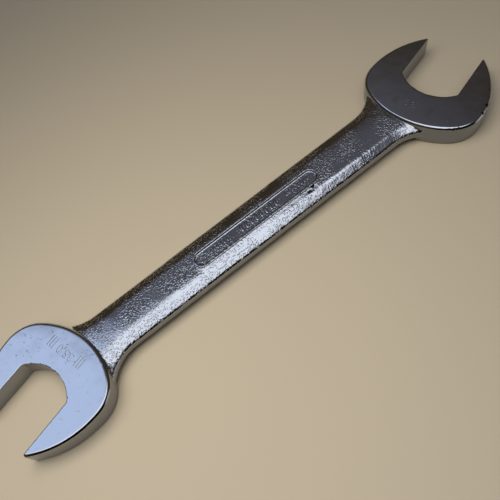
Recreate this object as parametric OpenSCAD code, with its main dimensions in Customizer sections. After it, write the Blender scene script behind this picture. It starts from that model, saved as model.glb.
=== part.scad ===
// Double open-ended spanner: one forged bar, a jaw at each end, both jaws turned the same way round.
// Millimetres, +Z up, small jaw towards -X, large jaw towards +X, lying on Z = 0.

/* [Jaws] */
// Small jaw opening, flat to flat
small_jaw = 35; // [24:0.1:44]
// Large jaw opening, flat to flat
large_jaw = 38.7; // [30:0.1:50]
// Angle between each jaw and the shank
jaw_angle = 15; // [0:0.5:22.5]
// Distance between the two head centres
head_spacing = 284.1; // [200:0.5:360]
// How far the line through the head centres lies to one side of the shank
head_offset = 1.2; // [0:0.1:4]

/* [Heads] */
// Thickness of both heads
head_t = 14.8; // [8:0.1:20]
// Chamfer round the outer edges of the heads
head_edge = 1.3; // [0.3:0.1:2]
// Head centre to the back of the head, as a share of the jaw opening
back_reach = 0.75; // [0.6:0.005:0.9]
// Radius of the back of the head, as a share of the jaw opening
back_round = 1.4; // [1:0.01:1.8]
// Radius of the shoulders, as a share of the jaw opening
shoulder_round = 0.6; // [0.4:0.01:0.7]
// Radius of the outside of the claws, as a share of the jaw opening
flank_round = 1.56; // [1.3:0.005:1.8]
// Half width of the head, as a share of the jaw opening
half_head = 1.035; // [0.9:0.005:1.15]
// Radius of the throat, as a share of the jaw opening
throat_round = 0.66; // [0.6:0.005:1]
// How far the throat goes behind the head centre, as a share of the jaw opening
throat_back = 0.078; // [0:0.002:0.2]
// Radius of the claw tips
tip_r = 1.2; // [0.5:0.1:3]

/* [Shank] */
// Shank width carried to the small head
shank_w_small = 28.8; // [18:0.1:34]
// Shank width carried to the large head
shank_w_large = 32.8; // [20:0.1:36]
// Shank thickness along its middle
shank_t = 12; // [9:0.1:14]
// Shank thickness at its long edges
shank_edge_t = 5.2; // [4:0.1:9]
// How far each crowned face would drop from the middle to the long edges without the sloping bands
crown = 1.1; // [0.3:0.1:2]
// Width of the sloping band along each long edge
band_w = 6; // [3:0.1:8]
// Radius of the flares into the heads
flare_r = 27; // [15:0.5:34]

/* [Panels] */
// Panel length
panel_l = 94.5; // [50:0.5:140]
// Panel width
panel_w = 12; // [8:0.1:16]
// Width of the raised rim
rim_w = 1.5; // [0.8:0.1:2.5]
// Height of the rim above the crown
rim_up = 0.7; // [0.3:0.1:1.2]
// Depth of the panel floor below the crown
floor_down = 0.5; // [0.2:0.1:1]
// Panel centre, measured from the middle of the shank towards the large head
panel_shift = 2.5; // [-20:0.5:20]

/* [Hidden] */
$fn = 180;
end_x = head_spacing / 2;
mid_z = head_t / 2;
crown_z = mid_z + shank_t / 2;
edge_z = mid_z + shank_edge_t / 2;
half_w = (shank_w_small + shank_w_large) / 4;
taper = (shank_w_large - shank_w_small) / 2 / head_spacing;
crown_r = (half_w * half_w + crown * crown) / (2 * crown);
band_top = crown_z - crown_r + sqrt(crown_r * crown_r - (half_w - band_w) * (half_w - band_w));
band_slope = (band_top - edge_z) / band_w;
band_reach = (head_t + 1 - edge_z) / band_slope;
plate_t = 1.2;
plate_z = crown_z - floor_down - plate_t;
mark_up = floor_down + rim_up - 0.25;
big_mark = [1.7, 5.2];
small_mark = [1.2, 3.2];
mark_lean = 12;
// rounds that only touch are drawn this much larger, so that they always join
lap = 0.01;

// Where two circles meet, on the left (s = 1) or the right (s = -1) of the line from a to b
function meet(a, ra, b, rb, s) =
    let (d = norm(b - a), e = (b - a) / d, m = (d * d + ra * ra - rb * rb) / (2 * d))
    a + m * e + s * sqrt(ra * ra - m * m) * [-e[1], e[0]];
function unit(v) = v / norm(v);
function turned(v, a) = [v[0] * cos(a) - v[1] * sin(a), v[0] * sin(a) + v[1] * cos(a)];

// Head in its own frame: centre at the origin, jaw opening towards +X, upper claw at +Y
function back_c(w) = [(back_round - back_reach) * w, 0];
function flank_c(w) = [-0.056 * w, (half_head - flank_round) * w];
function shoulder_c(w) =
    meet(back_c(w), (back_round - shoulder_round) * w, flank_c(w), (flank_round - shoulder_round) * w, -1);
function tip_c(w) =
    let (v = w / 2 + tip_r, c = flank_c(w), r = flank_round * w - tip_r)
    [c[0] + sqrt(r * r - (v - c[1]) * (v - c[1])), v];

// Reach of a head past its centre along the shank and across it, used to centre the whole part
function reach_x(w) = turned([tip_c(w)[0], -tip_c(w)[1]], jaw_angle)[0] + tip_r;
function reach_up(w) = turned(flank_c(w), jaw_angle)[1] + flank_round * w;
function reach_down(w) =
    let (c = shoulder_c(w))
    -turned([c[0], -c[1]], jaw_angle)[1] + shoulder_round * w;
top_y = max(reach_up(large_jaw), reach_down(small_jaw)) - head_offset;
low_y = max(reach_down(large_jaw), reach_up(small_jaw)) + head_offset;
centre_x = (reach_x(large_jaw) - reach_x(small_jaw)) / 2;
centre_y = (top_y - low_y) / 2;

module both_sides() {
    children();
    mirror([0, 1, 0]) children();
}

module at_small_end() {
    rotate([0, 0, 180]) children();
}

module placed() {
    translate([-centre_x, -centre_y, 0]) children();
}

// A round disc with both rims chamfered
module chamfered_disc(c, r) {
    translate([c[0], c[1], 0])
        rotate_extrude()
            polygon([
                [0, 0], [r - head_edge, 0], [r, head_edge],
                [r, head_t - head_edge], [r - head_edge, head_t], [0, head_t]
            ]);
}

// The corner between the back and a flank, seen from the shoulder's centre
module shoulder_wedge(w) {
    c = shoulder_c(w);
    a = unit(c - back_c(w)) * w;
    b = unit(c - flank_c(w)) * w;
    polygon([c, c + b, c + a + b, c + a]);
}

// What is outside the rounded tip of a claw
module tip_waste(w) {
    c = tip_c(w);
    b = unit(c - flank_c(w)) * w;
    difference() {
        polygon([c, c - [0, w / 4], c + [w, -w / 4], c + b + [w, 0], c + b]);
        translate(c) circle(r = tip_r + lap);
    }
}

// Space between the flats, ending in the shallow throat
module jaw_gap(w) {
    r = throat_round * w;
    c = r - throat_back * w;
    intersection() {
        translate([c, 0]) circle(r = r);
        square([2 * c, w], center = true);
    }
    translate([c, -w / 2]) square([2 * w, w]);
}

// Head blank: chamfered discs meeting at the claws, with the shoulders rounded off
module head_blank(w) {
    difference() {
        intersection() {
            chamfered_disc(back_c(w), back_round * w);
            chamfered_disc(flank_c(w), flank_round * w);
            mirror([0, 1, 0]) chamfered_disc(flank_c(w), flank_round * w);
        }
        both_sides() translate([0, 0, -1]) linear_extrude(head_t + 2) shoulder_wedge(w);
    }
    both_sides() chamfered_disc(shoulder_c(w), shoulder_round * w + lap);
}

// off is how far the head centre lies above the shank's line in the frame of this end
module at_head(off) {
    translate([end_x, off, 0]) rotate([0, 0, jaw_angle]) children();
}

module head(w, off) {
    at_head(off)
        difference() {
            head_blank(w);
            translate([0, 0, -1]) linear_extrude(head_t + 2) jaw_gap(w);
            both_sides() translate([0, 0, -1]) linear_extrude(head_t + 2) tip_waste(w);
        }
}

// Geometry of one flare, seen as if it lay on the upper edge: side = 1 for the upper edge, -1 for the lower.
// slope is how fast the half width grows towards this head.
function flare_m(w, off, side) =
    let (s = shoulder_c(w), c = turned([s[0], side * s[1]], jaw_angle) + [end_x, off])
    [c[0], side * c[1]];
// The flare's centre is flare_r from the long edge and just touches the head's shoulder
function flare_c(w, off, side, slope) =
    let (q = 1 + slope * slope,
         lift = half_w + flare_r * sqrt(q),
         reach = shoulder_round * w + flare_r,
         m = flare_m(w, off, side),
         d = [m[0], m[1] - lift],
         p = (d[0] + slope * d[1]) / q,
         x = p - sqrt(p * p - (d[0] * d[0] + d[1] * d[1] - reach * reach) / q))
    [x, lift + slope * x];
// Where the flare runs out into the long edge
function flare_foot(w, off, side, slope) =
    flare_c(w, off, side, slope) + flare_r * unit([slope, -1]);

// The corner between the shank's long edge and a shoulder, before the flare is cut out of it
module flare_fill(w, off, side, slope) {
    m = flare_m(w, off, side);
    foot = flare_foot(w, off, side, slope);
    scale([1, side])
        linear_extrude(head_t)
            polygon([foot, flare_c(w, off, side, slope), m, [m[0], 0], [foot[0], 0]]);
}

// What the flare takes away: round at the edge, widening into the sloping bands above and below it
module flare_waste(w, off, side, slope) {
    f = flare_c(w, off, side, slope);
    r = flare_r + lap;
    translate([f[0], side * f[1], 0])
        rotate_extrude()
            polygon([
                [0, -1], [r + band_reach, -1], [r, head_t - edge_z],
                [r, edge_z], [r + band_reach, head_t + 1], [0, head_t + 1]
            ]);
}

// Everything on the shank's side of one long edge, with the sloping bands above and below that edge
module banded_side(side) {
    rise = side * (shank_w_large - shank_w_small) / 2;
    far_side = shank_w_small + shank_w_large;
    translate([-end_x, side * shank_w_small / 2, 0])
        rotate([0, 0, atan2(rise, head_spacing)])
            rotate([90, 0, 90])
                linear_extrude(norm([head_spacing, rise]))
                    polygon([
                        [0, head_t - edge_z], [0, edge_z], [-side * band_reach, head_t + 1],
                        [-side * far_side, head_t + 1], [-side * far_side, -1], [-side * band_reach, -1]
                    ]);
}

// The shank's outline as a slab with its edges sloped off, long enough to run under both heads
module shank_slab() {
    difference() {
        union() {
            intersection() {
                banded_side(1);
                banded_side(-1);
            }
            for (side = [1, -1]) {
                flare_fill(large_jaw, -head_offset, side, taper);
                at_small_end() flare_fill(small_jaw, head_offset, side, -taper);
            }
        }
        for (side = [1, -1]) {
            flare_waste(large_jaw, -head_offset, side, taper);
            at_small_end() flare_waste(small_jaw, head_offset, side, -taper);
        }
    }
}

// Solid under both crowned faces, along the whole shank
module crowned_bar() {
    intersection() {
        translate([-end_x, 0, crown_z - crown_r]) rotate([0, 90, 0]) cylinder(r = crown_r, h = head_spacing);
        translate([-end_x, 0, head_t - crown_z + crown_r]) rotate([0, 90, 0]) cylinder(r = crown_r, h = head_spacing);
    }
}

module stadium(l, w) {
    square([l - w, w], center = true);
    translate([(w - l) / 2, 0]) circle(d = w);
    translate([(l - w) / 2, 0]) circle(d = w);
}

// Puts things that stand on a panel floor on the front face, or on the back face turned over
module on_front() {
    translate([panel_shift, 0, 0]) children();
}

module on_back() {
    translate([panel_shift, 0, head_t]) rotate([180, 0, 0]) children();
}

module panel() {
    translate([0, 0, plate_z]) linear_extrude(plate_t) stadium(panel_l, panel_w);
    translate([0, 0, crown_z - floor_down])
        linear_extrude(floor_down + rim_up)
            difference() {
                stadium(panel_l, panel_w);
                stadium(panel_l - 2 * rim_w, panel_w - 2 * rim_w);
            }
}

// A row of leaning bars
module mark_row(x, n, pitch, size) {
    for (i = [0 : n - 1])
        translate([x + (i - (n - 1) / 2) * pitch, 0])
            rotate(-mark_lean)
                square(size, center = true);
}

module marks() {
    translate([0, 0, crown_z - floor_down])
        linear_extrude(mark_up) {
            mark_row(-31, 8, 2.4, small_mark);
            mark_row(1, 8, 3.7, big_mark);
            mark_row(31, 8, 2.4, small_mark);
        }
}

module panel_pocket() {
    translate([0, 0, plate_z]) linear_extrude(head_t) stadium(panel_l, panel_w);
}

module small_head() {
    color("silver") placed() at_small_end() head(small_jaw, head_offset);
}

module large_head() {
    color("silver") placed() head(large_jaw, -head_offset);
}

module shank() {
    color("gainsboro") placed()
        difference() {
            intersection() {
                shank_slab();
                crowned_bar();
            }
            at_head(-head_offset) head_blank(large_jaw);
            at_small_end() at_head(head_offset) head_blank(small_jaw);
            on_front() panel_pocket();
            on_back() panel_pocket();
        }
}

module front_panel() {
    color("lightsteelblue") placed() on_front() panel();
}

module front_marks() {
    color("slategray") placed() on_front() marks();
}

module back_panel() {
    color("lightsteelblue") placed() on_back() panel();
}

module back_marks() {
    color("slategray") placed() on_back() marks();
}

small_head();
large_head();
shank();
front_panel();
front_marks();
back_panel();
back_marks();
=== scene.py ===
import math

import bpy
from mathutils import Matrix, Vector


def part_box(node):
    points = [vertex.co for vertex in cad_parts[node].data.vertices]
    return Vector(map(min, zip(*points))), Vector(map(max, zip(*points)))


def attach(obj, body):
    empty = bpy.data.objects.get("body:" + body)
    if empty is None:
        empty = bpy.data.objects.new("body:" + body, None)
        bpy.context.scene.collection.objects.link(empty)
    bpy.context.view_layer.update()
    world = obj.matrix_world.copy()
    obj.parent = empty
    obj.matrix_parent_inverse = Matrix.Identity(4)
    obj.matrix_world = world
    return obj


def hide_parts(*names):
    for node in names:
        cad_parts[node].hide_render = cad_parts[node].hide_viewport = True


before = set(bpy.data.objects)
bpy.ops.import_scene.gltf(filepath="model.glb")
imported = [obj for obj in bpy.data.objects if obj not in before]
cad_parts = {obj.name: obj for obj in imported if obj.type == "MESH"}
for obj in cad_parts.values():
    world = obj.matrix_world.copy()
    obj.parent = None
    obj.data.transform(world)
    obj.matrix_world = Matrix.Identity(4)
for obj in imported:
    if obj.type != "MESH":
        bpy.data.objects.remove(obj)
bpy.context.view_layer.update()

MM = 0.001

# ---------------------------------------------------------------- camera

CAMERA_AZIMUTH = -26.733
CAMERA_ELEVATION = 61.867
CAMERA_ROLL = -13.841
CAMERA_DISTANCE = 335.21 * MM
CAMERA_TARGET = Vector((-13.86 * MM, -7.17 * MM, 0))
FOCAL_LENGTH = 40.04
SENSOR_WIDTH = 36.0


def add_camera():
    azimuth = math.radians(CAMERA_AZIMUTH)
    elevation = math.radians(CAMERA_ELEVATION)
    roll = math.radians(CAMERA_ROLL)
    back = Vector((
        math.sin(azimuth) * math.cos(elevation),
        -math.cos(azimuth) * math.cos(elevation),
        math.sin(elevation)))
    level = (-back).cross(Vector((0, 0, 1))).normalized()
    upright = level.cross(-back)
    right = level * math.cos(roll) + upright * math.sin(roll)
    up = upright * math.cos(roll) - level * math.sin(roll)
    data = bpy.data.cameras.new("camera")
    data.lens = FOCAL_LENGTH
    data.sensor_width = SENSOR_WIDTH
    data.clip_start = 0.01
    camera = bpy.data.objects.new("camera", data)
    bpy.context.collection.objects.link(camera)
    turn = Matrix((right, up, back)).transposed().to_4x4()
    camera.matrix_world = Matrix.Translation(CAMERA_TARGET + back * CAMERA_DISTANCE) @ turn
    bpy.context.scene.camera = camera


# ---------------------------------------------------------------- colours and nodes

def linear(hex_code):
    channels = [int(hex_code[i:i + 2], 16) / 255 for i in (0, 2, 4)]
    return [c / 12.92 if c <= 0.04045 else ((c + 0.055) / 1.055) ** 2.4 for c in channels] + [1.0]


def add(tree, kind, settings=None, **links):
    """Adds one node: settings are its options or unlinked inputs, links name the input each socket feeds."""
    made = tree.nodes.new(kind)
    for key, value in (settings or {}).items():
        if isinstance(key, int) or key in made.inputs:
            made.inputs[key].default_value = value
        else:
            setattr(made, key, value)
    for key, socket in links.items():
        tree.links.new(socket, made.inputs[int(key[1:]) if key[0] == "_" else key.replace("_", " ")])
    return made


def per_metre(size_mm):
    return 1 / (size_mm * MM)


def new_finish(name, base, metallic, roughness):
    material = bpy.data.materials.new(name)
    material.use_nodes = True
    shader = material.node_tree.nodes["Principled BSDF"]
    shader.inputs["Base Color"].default_value = linear(base)
    shader.inputs["Metallic"].default_value = metallic
    shader.inputs["Roughness"].default_value = roughness
    return material, material.node_tree, shader


# ---------------------------------------------------------------- finishes

def painted_shade_on_walls(tree, shader, bright, painted_wall_shade):
    """Painted shade: the base colour is darker on the upright walls than on the flat faces, standing in for
    the shaded table that the walls mirror.
    """
    normal = add(tree, "ShaderNodeNewGeometry").outputs["Normal"]
    facing = add(tree, "ShaderNodeSeparateXYZ", Vector=normal).outputs["Z"]
    flat = add(tree, "ShaderNodeMath", {"operation": "ABSOLUTE"}, _0=facing).outputs["Value"]
    # 0 on upright walls and 1 on flat faces: this mask sets where the painted shade falls
    share = add(tree, "ShaderNodeMapRange", {"From Min": 0.15, "From Max": 0.6}, Value=flat).outputs["Result"]
    # painted shade: the walls take the darker colour, the flat faces keep the plain chrome colour
    tone = add(tree, "ShaderNodeMix", {"data_type": "RGBA", 6: linear(painted_wall_shade), 7: linear(bright)}, _0=share)
    tree.links.new(tone.outputs[2], shader.inputs["Base Color"])


def polished_chrome():
    """Chrome plate on a ground and buffed face: a clear mirror with hair scratches and a slow buffing wave,
    marked by a few small dings."""
    material, tree, shader = new_finish("polished chrome plate", "C2C4C8", 1.0, 0.1)
    place = add(tree, "ShaderNodeTexCoord").outputs["Object"]
    # painted shade: the upright walls of the polished chrome get a darker base colour
    painted_shade_on_walls(tree, shader, "C2C4C8", "8F9298")
    smear = add(
        tree, "ShaderNodeTexNoise", {"Scale": per_metre(9), "Detail": 5.0, "Roughness": 0.6}, Vector=place)
    haze = add(
        tree, "ShaderNodeMapRange", {"From Min": 0.35, "From Max": 0.7, "To Min": 0.06, "To Max": 0.17},
        Value=smear.outputs["Fac"])
    tree.links.new(haze.outputs["Result"], shader.inputs["Roughness"])
    lay = add(
        tree, "ShaderNodeMapping", {"Rotation": (0, 0, math.radians(38)), "Scale": (1, 14, 1)},
        Vector=place)
    hairs = add(
        tree, "ShaderNodeTexNoise", {"Scale": per_metre(6), "Detail": 3.0}, Vector=lay.outputs["Vector"])
    wave = add(tree, "ShaderNodeTexNoise", {"Scale": per_metre(11), "Detail": 1.0}, Vector=place)
    dents = add(
        tree, "ShaderNodeTexNoise", {"Scale": per_metre(2.6), "Detail": 4.0, "Roughness": 0.7},
        Vector=place)
    dings = add(
        tree, "ShaderNodeMapRange",
        {"interpolation_type": "SMOOTHSTEP", "From Min": 0.62, "From Max": 0.74},
        Value=dents.outputs["Fac"])
    slow = add(tree, "ShaderNodeBump", {"Strength": 1.0, "Distance": 0.06 * MM}, Height=wave.outputs["Fac"])
    fine = add(
        tree, "ShaderNodeBump", {"Strength": 1.0, "Distance": 0.008 * MM}, Height=hairs.outputs["Fac"],
        Normal=slow.outputs["Normal"])
    knocks = add(
        tree, "ShaderNodeBump", {"Strength": 1.0, "Distance": 0.03 * MM}, Height=dings.outputs["Result"],
        Normal=fine.outputs["Normal"])
    tree.links.new(knocks.outputs["Normal"], shader.inputs["Normal"])
    return material


def forged_chrome(name, peel_height, speck):
    """Chrome plate straight over a drop forging: the scale-pitted steel shows through as orange peel,
    so highlights break into specks, more of them towards the small head."""
    material, tree, shader = new_finish(name, "BFC1C5", 1.0, 0.12)
    place = add(tree, "ShaderNodeTexCoord").outputs["Object"]
    # painted shade: the upright walls of the forged chrome get a darker base colour
    painted_shade_on_walls(tree, shader, "BFC1C5", "8F9298")
    patch = add(tree, "ShaderNodeTexNoise", {"Scale": per_metre(14), "Detail": 4.0}, Vector=place)
    haze = add(
        tree, "ShaderNodeMapRange", {"From Min": 0.35, "From Max": 0.7, "To Min": 0.08, "To Max": 0.2},
        Value=patch.outputs["Fac"])
    tree.links.new(haze.outputs["Result"], shader.inputs["Roughness"])
    peel = add(
        tree, "ShaderNodeTexNoise", {"Scale": per_metre(1.4), "Detail": 2.0, "Roughness": 0.5},
        Vector=place)
    grain = add(tree, "ShaderNodeTexNoise", {"Scale": per_metre(1.1), "Detail": 1.0}, Vector=place)
    pits = add(
        tree, "ShaderNodeMapRange", {"interpolation_type": "SMOOTHSTEP", "From Min": 0.5, "From Max": 0.68},
        Value=grain.outputs["Fac"])
    coarse = add(
        tree, "ShaderNodeBump", {"Strength": 1.0, "Distance": peel_height * MM}, Height=peel.outputs["Fac"])
    along = add(tree, "ShaderNodeSeparateXYZ", Vector=place).outputs["X"]
    rougher = add(
        tree, "ShaderNodeMapRange",
        {"From Min": -90 * MM, "From Max": 60 * MM, "To Min": 0.1, "To Max": 0.0},
        Value=along).outputs["Result"]
    blotch = add(
        tree, "ShaderNodeTexNoise", {"Scale": per_metre(16), "Detail": 2.0}, Vector=place).outputs["Fac"]
    pitted = add(tree, "ShaderNodeMath", {"operation": "ADD"}, _0=blotch, _1=rougher).outputs["Value"]
    share = add(
        tree, "ShaderNodeMapRange",
        {"interpolation_type": "SMOOTHSTEP",
         "From Min": 0.36, "From Max": 0.6, "To Min": 0.12, "To Max": 1.0},
        Value=pitted).outputs["Result"]
    fine = add(
        tree, "ShaderNodeBump", {"Distance": speck * MM}, Strength=share, Height=pits.outputs["Result"],
        Normal=coarse.outputs["Normal"])
    tree.links.new(fine.outputs["Normal"], shader.inputs["Normal"])
    return material


def bare_steel():
    """Steel bared where the plate has chipped away: almost black, rough, with a trace of rust."""
    material, tree, shader = new_finish("chipped bare steel", "17130F", 0.4, 0.6)
    place = add(tree, "ShaderNodeTexCoord").outputs["Object"]
    rust = add(tree, "ShaderNodeTexNoise", {"Scale": per_metre(1.2), "Detail": 3.0}, Vector=place)
    tone = add(
        tree, "ShaderNodeMix", {"data_type": "RGBA", 6: linear("0B0A09"), 7: linear("231710")},
        _0=rust.outputs["Fac"])
    tree.links.new(tone.outputs[2], shader.inputs["Base Color"])
    return material


# ---------------------------------------------------------------- shaping

def only(*pieces):
    bpy.ops.object.select_all(action="DESELECT")
    for piece in pieces:
        piece.select_set(True)
    bpy.context.view_layer.objects.active = pieces[0]


def copy_of(node_name, name):
    """A copy of a CAD node with its loose triangles joined up, ready to be refined."""
    only(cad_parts[node_name])
    bpy.ops.object.duplicate()
    piece = bpy.context.object
    piece.name = piece.data.name = name
    piece.data.materials.clear()
    bpy.ops.object.mode_set(mode="EDIT")
    bpy.ops.mesh.select_all(action="SELECT")
    bpy.ops.mesh.remove_doubles(threshold=0.001 * MM)
    bpy.ops.mesh.dissolve_limited(angle_limit=math.radians(0.3))
    bpy.ops.object.mode_set(mode="OBJECT")
    return piece


def modify(piece, kind, **settings):
    only(piece)
    modifier = piece.modifiers.new(kind.lower(), kind)
    for key, value in settings.items():
        setattr(modifier, key, value)
    bpy.ops.object.modifier_apply(modifier=modifier.name)


def finish_with(piece, material, smooth_angle=32):
    only(piece)
    if not piece.data.materials:
        piece.data.materials.append(material)
    bpy.ops.object.shade_smooth_by_angle(angle=math.radians(smooth_angle))


def stamp(text, height, centre, angle, top, depth):
    """A punch cut as bars and numerals that stands into the face at its place."""
    bpy.ops.object.text_add()
    punch = bpy.context.object
    punch.data.body = text
    punch.data.size = height / 0.7
    punch.data.align_x = "CENTER"
    punch.data.align_y = "CENTER"
    punch.data.extrude = depth
    punch.data.offset = 0.16 * MM
    bpy.ops.object.convert(target="MESH")
    modify(punch, "REMESH", mode="VOXEL", voxel_size=0.1 * MM)
    punch.matrix_world = Matrix.Translation((centre[0], centre[1], top)) @ Matrix.Rotation(angle, 4, "Z")
    bpy.ops.object.transform_apply(location=True, rotation=True, scale=True)
    return punch


def cut(piece, cutter, **settings):
    modify(piece, "BOOLEAN", object=cutter, operation="DIFFERENCE", **settings)
    bpy.data.objects.remove(cutter)


def chip_away(piece, chips, solver="EXACT"):
    """Flakes the plate off in ragged little pits. Each is given in millimetres by its place and its three
    half sizes, and then by its turn about Z in degrees."""
    pits = []
    for seed, (x, y, z, half_x, half_y, half_z, turn) in enumerate(chips):
        centre = (x * MM, y * MM, z * MM)
        bpy.ops.mesh.primitive_ico_sphere_add(subdivisions=3, radius=MM, location=centre)
        pit = bpy.context.object
        bpy.ops.object.mode_set(mode="EDIT")
        bpy.ops.transform.vertex_random(offset=0.22 * MM, uniform=0.3, normal=0.7, seed=seed)
        bpy.ops.transform.resize(value=(half_x, half_y, half_z), orient_type="GLOBAL", center_override=centre)
        bpy.ops.transform.rotate(value=math.radians(turn), orient_axis="Z", center_override=centre)
        bpy.ops.object.mode_set(mode="OBJECT")
        bpy.ops.object.transform_apply(location=True, rotation=True, scale=True)
        pit.data.materials.append(chipped)
        pits.append(pit)
    only(*pits)
    if len(pits) > 1:
        bpy.ops.object.join()
    cut(piece, pits[0], solver=solver, material_mode="TRANSFER")


add_camera()
plate = polished_chrome()
forging = forged_chrome("chrome plate over forging", 0.055, 0.085)
pebbled = forged_chrome("chrome plate over pebbled panel", 0.13, 0.06)
chipped = bare_steel()

# ---------------------------------------------------------------- heads

HEAD_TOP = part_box("small_head")[1][2]
JAW_ANGLE = math.radians(15)
STAMP_HEIGHT = 4.8 * MM
STAMP_DEPTH = 0.45 * MM


def refined_head(node_name, text, stamp_centre, stamp_angle, chips):
    """A head with its edges rubbed round, struck with its own jaw opening and chipped."""
    head = copy_of(node_name, node_name + "_plated")
    modify(head, "REMESH", mode="VOXEL", voxel_size=0.4 * MM)
    modify(head, "SMOOTH", factor=0.5, iterations=8)
    head.data.materials.append(plate)
    cut(head, stamp(text, STAMP_HEIGHT, stamp_centre, stamp_angle, HEAD_TOP, STAMP_DEPTH))
    chip_away(head, chips)
    finish_with(head, plate, 40)
    return head


small_head = refined_head(
    "small_head", "||| 35.0 |||", (-131.6 * MM, 4.95 * MM), math.radians(90) + JAW_ANGLE,
    [(-144.2, -14.6, 14.8, 0.6, 3.0, 0.6, -18)])
large_head = refined_head(
    "large_head", "||  38.7  ||", (124.9 * MM, -4.05 * MM), math.radians(-90) + JAW_ANGLE,
    [(127.8, -34.4, 14.2, 2.2, 1.0, 0.9, -25), (131.0, -35.5, 14.3, 1.2, 0.8, 0.7, -20),
     (149.9, -37.5, 14.2, 1.2, 0.9, 0.8, 10), (156.9, -35.1, 14.1, 1.9, 1.2, 1.0, 32),
     (162.7, -31.6, 14.2, 1.1, 0.8, 0.7, 40), (167.1, -27.8, 14.2, 1.0, 0.8, 0.7, 45)])

# ---------------------------------------------------------------- shank

# Points close to the head centres, towards which the hidden roots are drawn in
ROOT_CENTRES_X = (-144.6 * MM, 139.5 * MM)
ROOT_CENTRE_Y = -0.25 * MM
ROOT_SHRINK = (0.985, 0.985, 0.88)
# How far the pads under the panels lie below the panels' own faces
PAD_SINK = 0.4 * MM
# Where the melted skin is cut off, inside each head, and the side that is thrown away
CUTS = ((-122 * MM, -1), (118 * MM, 1))


def forged_shank():
    """The shank and the hidden roots of both heads, melted together and rubbed down so that every corner
    is a forging radius, then cut off inside the heads."""
    shank = copy_of("shank", "shank_forged")
    bodies = [shank]
    for node_name, centre_x in zip(("small_head", "large_head"), ROOT_CENTRES_X):
        root = copy_of(node_name, "root")
        bpy.ops.object.mode_set(mode="EDIT")
        bpy.ops.mesh.select_all(action="SELECT")
        bpy.ops.transform.resize(value=ROOT_SHRINK, center_override=(centre_x, ROOT_CENTRE_Y, HEAD_TOP / 2))
        bpy.ops.object.mode_set(mode="OBJECT")
        bodies.append(root)
    for node_name, sink in (("front_panel", -PAD_SINK), ("back_panel", PAD_SINK)):
        pad = copy_of(node_name, "pad")
        bpy.ops.object.mode_set(mode="EDIT")
        bpy.ops.mesh.select_all(action="SELECT")
        bpy.ops.transform.translate(value=(0, 0, sink))
        bpy.ops.object.mode_set(mode="OBJECT")
        bodies.append(pad)
    only(*bodies)
    bpy.ops.object.join()
    modify(shank, "REMESH", mode="VOXEL", voxel_size=0.55 * MM)
    modify(shank, "SMOOTH", factor=0.5, iterations=34)
    scale_marks = bpy.data.textures.new("scale marks", "CLOUDS")
    scale_marks.noise_scale = 5 * MM
    modify(shank, "DISPLACE", texture=scale_marks, texture_coords="LOCAL", strength=0.1 * MM, mid_level=0.5)
    shank.data.materials.clear()
    shank.data.materials.append(forging)
    chip_away(shank, [
        (34.8, -7.4, 13.15, 1.9, 1.0, 0.45, 30), (38.4, -5.4, 13.3, 1.3, 1.1, 0.4, -20),
        (37.0, -8.0, 13.1, 0.8, 0.6, 0.3, 0), (113.2, -22.6, 12.4, 1.4, 0.7, 0.5, -40),
        (-113.9, -18.4, 12.3, 0.7, 0.6, 0.35, 10), (-112.6, -16.4, 12.7, 0.9, 0.5, 0.3, 60)],
        solver="MANIFOLD")
    for cut_x, side in CUTS:
        bpy.ops.object.mode_set(mode="EDIT")
        bpy.ops.mesh.select_all(action="SELECT")
        bpy.ops.mesh.bisect(plane_co=(cut_x, 0, 0), plane_no=(side, 0, 0), use_fill=True, clear_outer=True)
        bpy.ops.object.mode_set(mode="OBJECT")
    only(shank)
    bpy.ops.object.shade_smooth()
    return shank


shank = forged_shank()
made = [(small_head, "small_head"), (large_head, "large_head"), (shank, "shank")]

# ---------------------------------------------------------------- panels and marks

for side in ("front", "back"):
    panel = copy_of(side + "_panel", side + "_panel_forged")
    modify(panel, "REMESH", mode="VOXEL", voxel_size=0.3 * MM)
    modify(panel, "SMOOTH", factor=0.5, iterations=6)
    finish_with(panel, pebbled, 180)
    marks = copy_of(side + "_marks", side + "_marks_forged")
    modify(marks, "BEVEL", width=0.45 * MM, segments=3, limit_method="ANGLE", angle_limit=math.radians(50))
    finish_with(marks, plate, 60)
    made += [(panel, side + "_panel"), (marks, side + "_marks")]

for piece, node_name in made:
    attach(piece, "root")
    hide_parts(node_name)

# ---------------------------------------------------------------- stage

bpy.ops.mesh.primitive_plane_add(size=4)
floor = bpy.context.object
floor.name = "floor"
floor.data.materials.append(new_finish("pale table top", "A39884", 0.0, 0.5)[0])


def soft_light(name, place, aim, width, height, power, colour):
    """An area light that the metal doesn't mirror: what it mirrors is the room."""
    data = bpy.data.lights.new(name, "AREA")
    data.shape = "RECTANGLE"
    data.size, data.size_y = width, height
    data.energy = power
    data.color = linear(colour)[:3]
    light = bpy.data.objects.new(name, data)
    bpy.context.collection.objects.link(light)
    turn = (Vector(place) - Vector(aim)).to_track_quat("Z", "Y").to_matrix().to_4x4()
    light.matrix_world = Matrix.Translation(place) @ turn
    light.visible_camera = False
    light.visible_glossy = False


soft_light("table softbox", (-0.12, 0.0, 0.4), (-0.1, -0.35, 0), 0.35, 0.35, 2.4, "FFF8EC")


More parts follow.
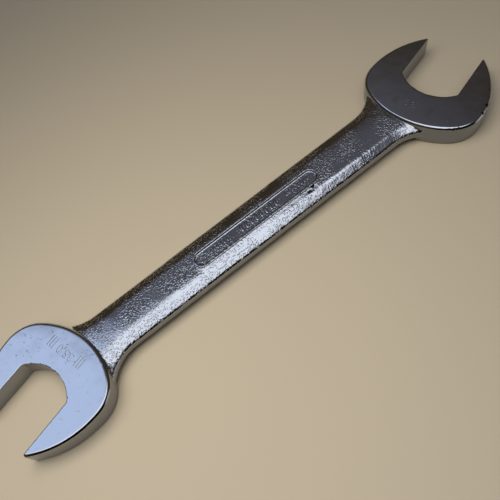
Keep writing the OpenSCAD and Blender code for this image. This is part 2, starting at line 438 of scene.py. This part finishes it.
def studio_room():
    """What the chrome mirrors: dim walls, a white ceiling, a pale blue patch beyond the far side and a pale
    one low on the near right. The wall behind the near side is dark, and the camera sees a plain backdrop."""
    world = bpy.data.worlds.new("studio room")
    bpy.context.scene.world = world
    world.use_nodes = True
    tree = world.node_tree
    background = tree.nodes["Background"]
    direction = add(tree, "ShaderNodeTexCoord").outputs["Generated"]
    axes = add(tree, "ShaderNodeSeparateXYZ", Vector=direction).outputs
    rise = add(
        tree, "ShaderNodeMapRange", {"From Min": 0.68, "From Max": 0.74}, Value=axes["Z"]).outputs["Result"]
    tone = add(
        tree, "ShaderNodeMix", {"data_type": "RGBA", 6: linear("41382C"), 7: linear("5E5E66")},
        _0=rise).outputs[2]
    aside = add(
        tree, "ShaderNodeMapRange", {"interpolation_type": "SMOOTHSTEP", "From Min": 0.5, "From Max": 0.66},
        Value=axes["X"]).outputs["Result"]
    tone = add(
        tree, "ShaderNodeMix", {"data_type": "RGBA", 7: linear("3F3934")}, _0=aside, _6=tone).outputs[2]

    def with_patch(tone, towards, inner, outer, colour, strength):
        """Lays a soft-edged round patch over the walls, inner and outer being its half angles."""
        near = add(
            tree, "ShaderNodeVectorMath", {"operation": "DOT_PRODUCT", 1: Vector(towards).normalized()},
            _0=direction).outputs["Value"]
        spread = add(
            tree, "ShaderNodeMapRange",
            {"interpolation_type": "SMOOTHSTEP",
             "From Min": math.cos(math.radians(outer)), "From Max": math.cos(math.radians(inner))},
            Value=near)
        return add(
            tree, "ShaderNodeMix", {"data_type": "RGBA", 7: [c * strength for c in linear(colour)]},
            _0=spread.outputs["Result"], _6=tone).outputs[2]

    tone = with_patch(tone, (-0.06, -0.2, 0.977), 28.5, 32, "F0F5FF", 1.5)
    tone = with_patch(tone, (-0.31, 0.39, 0.87), 11, 15.5, "C4D6F8", 1.35)
    ahead = add(
        tree, "ShaderNodeMapRange",
        {"interpolation_type": "SMOOTHSTEP", "From Min": -0.6, "From Max": -0.5},
        Value=axes["Y"]).outputs["Result"]
    tone = add(
        tree, "ShaderNodeMix", {"data_type": "RGBA", 6: linear("1A1816")}, _0=ahead, _7=tone).outputs[2]
    tone = with_patch(tone, (0.72, -0.66, 0.1), 12, 20, "B4B8BC", 1.0)
    seen = add(tree, "ShaderNodeLightPath").outputs["Is Camera Ray"]
    tone = add(tree, "ShaderNodeMix", {"data_type": "RGBA", 7: linear("8F887B")}, _0=seen, _6=tone).outputs[2]
    tree.links.new(tone, background.inputs["Color"])


studio_room()
bpy.context.scene.view_settings.view_transform = "Standard"
